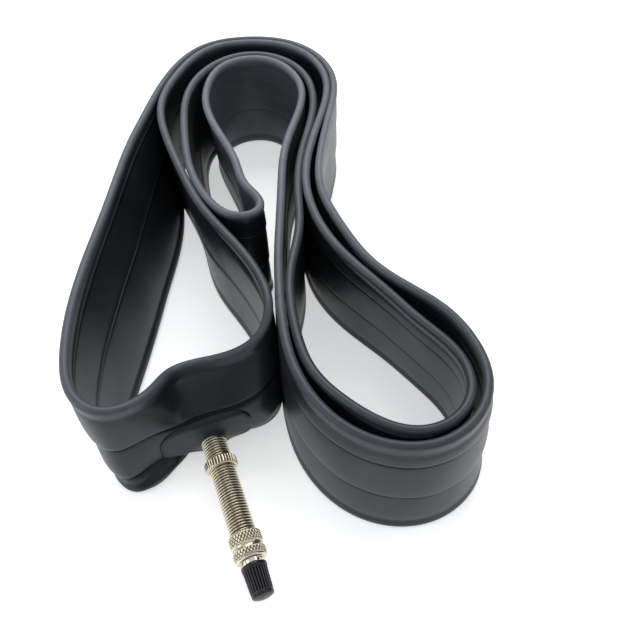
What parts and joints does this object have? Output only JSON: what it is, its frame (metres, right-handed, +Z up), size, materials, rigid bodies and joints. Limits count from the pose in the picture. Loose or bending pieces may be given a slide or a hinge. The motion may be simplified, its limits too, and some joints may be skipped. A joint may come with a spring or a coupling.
{
  "type": "bicycle inner tube",
  "caption": "Deflated butyl bicycle inner tube folded loosely on edge, with a threaded Woods valve stem, rim nut, union nut, valve core and ribbed dust cap.",
  "frame": {"origin": "bottom centre of the folded tube's box, on the surface it stands on", "axes": "+Z up, +Y along the length of the folded bundle away from the valve, +X to the right when the valve points at the viewer"},
  "size_m": [0.1388, 0.2622, 0.0472],
  "materials": {
    "butyl": "satin",
    "base_rubber": "satin",
    "plated_brass": "polished",
    "core_brass": "polished",
    "seal_rubber": "matte",
    "plunger_plastic": "matte",
    "cap_plastic": "satin"
  },
  "bodies": {
    "tube": {"tube_body": "butyl", "valve_base": "base_rubber", "valve_stem": "plated_brass"},
    "rim_nut": {"rim_nut": "plated_brass"},
    "core": {"core_body": "core_brass", "core_seal": "seal_rubber", "core_cage": "core_brass"},
    "union_nut": {"union_nut": "plated_brass"},
    "plunger": {"check_plunger": "plunger_plastic", "plunger_seal": "seal_rubber"},
    "dust_cap": {"dust_cap": "cap_plastic"}
  },
  "joints": [
    {"name": "rim_nut_travel", "type": "slide", "parent": "tube", "child": "rim_nut", "axis": [0.3592, -0.9293, -0.0855], "range_m": [-0.0068, 0.0227]},
    {"name": "core_lift", "type": "slide", "parent": "tube", "child": "core", "axis": [0.3592, -0.9293, -0.0855], "range_m": [0, 0.00555]},
    {"name": "union_nut_turn", "type": "hinge", "parent": "core", "child": "union_nut", "pos_m": [-0.00899, -0.11332, 0.00885], "axis": [0.3592, -0.9293, -0.0855], "range_deg": [0, 2520]},
    {"name": "plunger_drop", "type": "slide", "parent": "core", "child": "plunger", "axis": [0.3592, -0.9293, -0.0855], "range_m": [-0.0012, 0]},
    {"name": "cap_draw_off", "type": "slide", "parent": "core", "child": "dust_cap", "axis": [0.3592, -0.9293, -0.0855], "range_m": [0, 0.024]}
  ],
  "couplings": [
    {"joint": "union_nut_turn", "follows": "core_lift", "rad_per_m": 7913.3}
  ]
}
